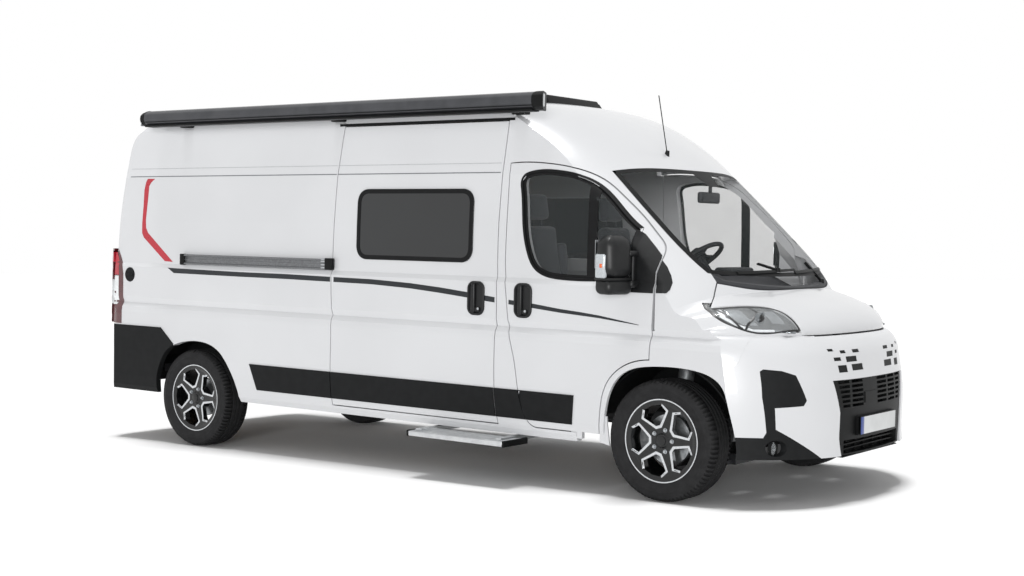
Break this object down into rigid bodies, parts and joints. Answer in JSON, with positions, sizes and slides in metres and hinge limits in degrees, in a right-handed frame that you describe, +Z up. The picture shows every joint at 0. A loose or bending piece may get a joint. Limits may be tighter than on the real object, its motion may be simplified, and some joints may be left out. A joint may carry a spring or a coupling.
{
  "type": "camper van",
  "caption": "High-roof camper van on a long panel-van body, with sliding side door, hinged cab and rear doors, steered front wheels, roof awning and pull-out step.",
  "frame": {"origin": "centre of the bounding box on the ground", "axes": "+X forward, +Y to the left, +Z up"},
  "size_m": [5.9603, 2.473, 2.5842],
  "materials": {
    "body_white": "gloss",
    "dark_plastic": "satin",
    "anthracite": "satin",
    "glass_dark": "gloss",
    "lamp_clear": "gloss",
    "lamp_red": "gloss",
    "tyre": "matte",
    "rim": "gloss",
    "chassis_black": "satin",
    "cast": "satin",
    "floor_board": "satin",
    "interior": "satin",
    "trim_grey": "matte",
    "seat_cloth": "matte",
    "step_alloy": "satin",
    "roof_light": "gloss"
  },
  "bodies": {
    "van": {"roof_panel": "body_white", "cab_roof": "body_white", "windscreen": "glass_dark", "cowl": "trim_grey", "front_wings": "body_white", "headlamps": "lamp_clear", "front_bumper": "body_white", "bumper_cladding": "dark_plastic", "grille": "dark_plastic", "side_wall_left": "body_white", "side_wall_right": "body_white", "door_posts_and_sills": "body_white", "sliding_door": "body_white", "side_windows": "glass_dark", "rear_bumper": "dark_plastic", "tail_lamps": "lamp_red", "rub_strips": "dark_plastic", "slide_rail": "dark_plastic", "roof_lights": "roof_light", "roof_deflector": "dark_plastic", "aerial": "dark_plastic", "awning": "anthracite", "wipers": "dark_plastic", "wheel_housings": "trim_grey", "bulkhead": "trim_grey", "floor": "floor_board", "chassis_rails": "chassis_black", "cross_members": "chassis_black", "front_suspension": "chassis_black", "engine": "cast", "rear_axle": "chassis_black", "tanks_and_exhaust": "chassis_black", "step_housing": "chassis_black", "dashboard": "trim_grey", "cab_seats": "seat_cloth", "living_units": "interior", "rear_bed": "seat_cloth"},
    "hood": {"hood": "body_white"},
    "door_left": {"door_left": "body_white", "door_glass_left": "glass_dark", "door_trim_left": "dark_plastic"},
    "door_right": {"door_right": "body_white", "door_glass_right": "glass_dark", "door_trim_right": "dark_plastic"},
    "rear_door_left": {"rear_door_left": "body_white", "rear_glass_left": "glass_dark"},
    "rear_door_right": {"rear_door_right": "body_white", "rear_glass_right": "glass_dark"},
    "steer_left": {"knuckle_left": "cast"},
    "steer_right": {"knuckle_right": "cast"},
    "wheel_front_left": {"tyre_front_left": "tyre", "rim_front_left": "rim"},
    "wheel_front_right": {"tyre_front_right": "tyre", "rim_front_right": "rim"},
    "wheel_rear_left": {"tyre_rear_left": "tyre", "rim_rear_left": "rim"},
    "wheel_rear_right": {"tyre_rear_right": "tyre", "rim_rear_right": "rim"},
    "steering_wheel": {"steering_wheel": "trim_grey"},
    "entrance_step": {"entrance_step": "step_alloy"}
  },
  "joints": [
    {"name": "hood_hinge", "type": "hinge", "parent": "van", "child": "hood", "pos_m": [2.23832, 0, 1.29725], "axis": [0, -1, 0], "range_deg": [0, 55]},
    {"name": "door_left_hinge", "type": "hinge", "parent": "van", "child": "door_left", "pos_m": [1.98314, 1.01, 1.00164], "axis": [-0.0174, 0, -0.9998], "range_deg": [0, 70]},
    {"name": "door_right_hinge", "type": "hinge", "parent": "van", "child": "door_right", "pos_m": [1.98314, -1.01, 1.00164], "axis": [0.0174, 0, 0.9998], "range_deg": [0, 70]},
    {"name": "rear_door_left_hinge", "type": "hinge", "parent": "van", "child": "rear_door_left", "pos_m": [-2.93386, 0.792, 1.44718], "axis": [-0.1266, 0, -0.992], "range_deg": [0, 96]},
    {"name": "rear_door_right_hinge", "type": "hinge", "parent": "van", "child": "rear_door_right", "pos_m": [-2.93386, -0.792, 1.44718], "axis": [0.1266, 0, 0.992], "range_deg": [0, 96]},
    {"name": "steer_left", "type": "hinge", "parent": "van", "child": "steer_left", "pos_m": [2.072, 0.79839, 0.36], "axis": [0, -0.2166, 0.9763], "range_deg": [-36, 36]},
    {"name": "steer_right", "type": "hinge", "parent": "van", "child": "steer_right", "pos_m": [2.072, -0.79839, 0.36], "axis": [0, 0.2166, 0.9763], "range_deg": [-36, 36]},
    {"name": "steering_wheel_turn", "type": "hinge", "parent": "van", "child": "steering_wheel", "pos_m": [1.49017, 0.45, 1.41027], "axis": [-0.586, 0, 0.8103], "range_deg": [-540, 540]},
    {"name": "wheel_front_left_spin", "type": "hinge", "parent": "steer_left", "child": "wheel_front_left", "pos_m": [2.072, 0.905, 0.36], "axis": [0, 1, 0], "continuous": true},
    {"name": "wheel_front_right_spin", "type": "hinge", "parent": "steer_right", "child": "wheel_front_right", "pos_m": [2.072, -0.905, 0.36], "axis": [0, 1, 0], "continuous": true},
    {"name": "wheel_rear_left_spin", "type": "hinge", "parent": "van", "child": "wheel_rear_left", "pos_m": [-1.963, 0.895, 0.36], "axis": [0, 1, 0], "continuous": true},
    {"name": "wheel_rear_right_spin", "type": "hinge", "parent": "van", "child": "wheel_rear_right", "pos_m": [-1.963, -0.895, 0.36], "axis": [0, 1, 0], "continuous": true},
    {"name": "step_slide", "type": "slide", "parent": "van", "child": "entrance_step", "axis": [0, 1, 0], "range_m": [0, 0.25]}
  ],
  "couplings": [
    {"joint": "steer_right", "follows": "steer_left", "ratio": 1},
    {"joint": "steering_wheel_turn", "follows": "steer_left", "ratio": 15}
  ]
}
